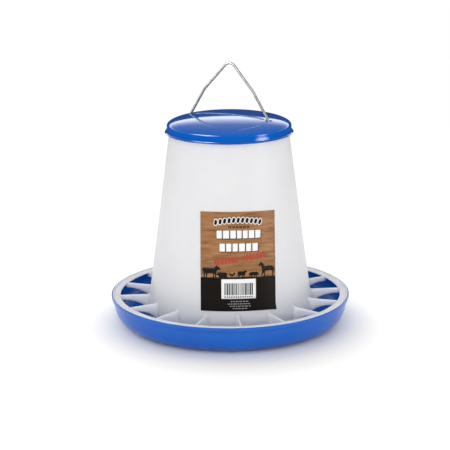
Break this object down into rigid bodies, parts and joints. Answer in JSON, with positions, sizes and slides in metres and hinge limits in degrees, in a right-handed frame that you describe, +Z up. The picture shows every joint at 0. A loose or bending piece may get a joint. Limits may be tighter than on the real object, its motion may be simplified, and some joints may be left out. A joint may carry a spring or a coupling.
{
  "type": "gravity poultry feeder",
  "caption": "Gravity feeder: a conical hopper over a round pan, a vaned feed-saver ring with pecking openings, a domed lid and a pointed wire bail to hang it by.",
  "frame": {"origin": "middle of the pan's underside, on the ground", "axes": "+Z up the hopper's axis; -Y is the side with the label, +X to its right"},
  "size_m": [0.3, 0.3, 0.3285],
  "materials": {
    "blue_plastic": "glossy moulded polypropylene",
    "white_plastic": "slightly translucent white polypropylene, satin gloss",
    "galvanised_wire": "galvanised drawn wire",
    "printed_label": "printed vinyl film"
  },
  "bodies": {
    "pan": {"base_pan": "blue_plastic"},
    "hopper": {"hopper": "white_plastic", "feed_saver_ring": "white_plastic", "feed_saver_vanes": "white_plastic", "label": "printed_label"},
    "lid": {"lid": "blue_plastic"},
    "bail": {"bail_handle": "galvanised_wire"}
  },
  "joints": [
    {"name": "hopper_turn", "type": "hinge", "parent": "pan", "child": "hopper", "pos_m": [0, 0, 0.034], "axis": [0, 0, 1], "range_deg": [0, 22]},
    {"name": "lid_lift", "type": "slide", "parent": "hopper", "child": "lid", "axis": [0, 0, 1], "range_m": [0, 0.06]},
    {"name": "bail_rock", "type": "hinge", "parent": "lid", "child": "bail", "pos_m": [0, 0, 0.2522], "axis": [0.9011, -0.4337, 0], "range_deg": [-7, 7]}
  ]
}
